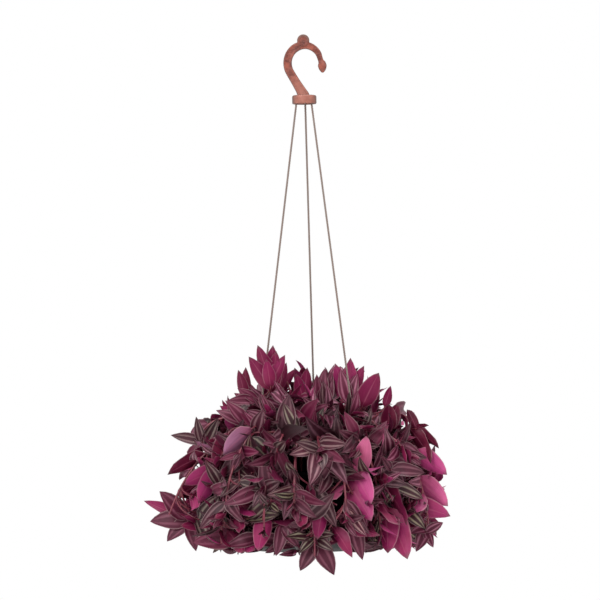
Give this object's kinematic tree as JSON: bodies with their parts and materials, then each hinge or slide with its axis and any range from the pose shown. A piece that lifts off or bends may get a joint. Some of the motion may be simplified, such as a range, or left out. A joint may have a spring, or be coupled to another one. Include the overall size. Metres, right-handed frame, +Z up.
{
  "type": "potted tradescantia",
  "caption": "Purple inch plant spilling from a black hanging pot with a saucer, hung by three twisted cords from a plastic hook.",
  "frame": {"origin": "underside of the hook's crown, where the pot hangs from a rail, nail or ceiling hook", "axes": "+Z up along the hanging line, -Y towards the front, +X to the viewer's right, where the hook opens"},
  "size_m": [0.4285, 0.3854, 0.7429],
  "materials": {
    "terracotta_plastic": "satin, moulded",
    "twine": "twisted, matt",
    "black_plastic": "satin",
    "potting_soil": "loose and matt: composted bark and peat",
    "tradescantia_leaf": "satin, purple with silver stripes above and magenta below"
  },
  "bodies": {
    "root": {"hook": "terracotta_plastic", "cord_plate": "terracotta_plastic", "cord_left": "twine", "cord_right": "twine", "cord_back": "twine", "pot": "black_plastic", "saucer": "black_plastic", "soil": "potting_soil", "shoot_crown_01": "tradescantia_leaf", "shoot_crown_02": "tradescantia_leaf", "shoot_crown_03": "tradescantia_leaf", "shoot_crown_04": "tradescantia_leaf", "shoot_crown_05": "tradescantia_leaf", "shoot_crown_06": "tradescantia_leaf", "shoot_crown_07": "tradescantia_leaf", "shoot_crown_08": "tradescantia_leaf", "shoot_shoulder_01": "tradescantia_leaf", "shoot_shoulder_02": "tradescantia_leaf", "shoot_shoulder_03": "tradescantia_leaf", "shoot_shoulder_04": "tradescantia_leaf", "shoot_shoulder_05": "tradescantia_leaf", "shoot_shoulder_06": "tradescantia_leaf", "shoot_shoulder_07": "tradescantia_leaf", "shoot_shoulder_08": "tradescantia_leaf", "shoot_shoulder_09": "tradescantia_leaf", "shoot_shoulder_10": "tradescantia_leaf", "shoot_shoulder_11": "tradescantia_leaf", "shoot_shoulder_12": "tradescantia_leaf", "shoot_shoulder_13": "tradescantia_leaf", "shoot_middle_01": "tradescantia_leaf", "shoot_middle_02": "tradescantia_leaf", "shoot_middle_03": "tradescantia_leaf", "shoot_middle_04": "tradescantia_leaf", "shoot_middle_05": "tradescantia_leaf", "shoot_middle_06": "tradescantia_leaf", "shoot_middle_07": "tradescantia_leaf", "shoot_middle_08": "tradescantia_leaf", "shoot_middle_09": "tradescantia_leaf", "shoot_middle_10": "tradescantia_leaf", "shoot_middle_11": "tradescantia_leaf", "shoot_middle_12": "tradescantia_leaf", "shoot_middle_13": "tradescantia_leaf", "shoot_skirt_01": "tradescantia_leaf", "shoot_skirt_02": "tradescantia_leaf", "shoot_skirt_03": "tradescantia_leaf", "shoot_skirt_04": "tradescantia_leaf", "shoot_skirt_05": "tradescantia_leaf", "shoot_skirt_06": "tradescantia_leaf", "shoot_skirt_07": "tradescantia_leaf", "shoot_skirt_08": "tradescantia_leaf", "shoot_skirt_09": "tradescantia_leaf", "shoot_skirt_10": "tradescantia_leaf", "shoot_skirt_11": "tradescantia_leaf", "shoot_skirt_12": "tradescantia_leaf", "shoot_skirt_13": "tradescantia_leaf", "shoot_skirt_14": "tradescantia_leaf", "shoot_skirt_15": "tradescantia_leaf", "shoot_skirt_16": "tradescantia_leaf"}
  },
  "joints": []
}
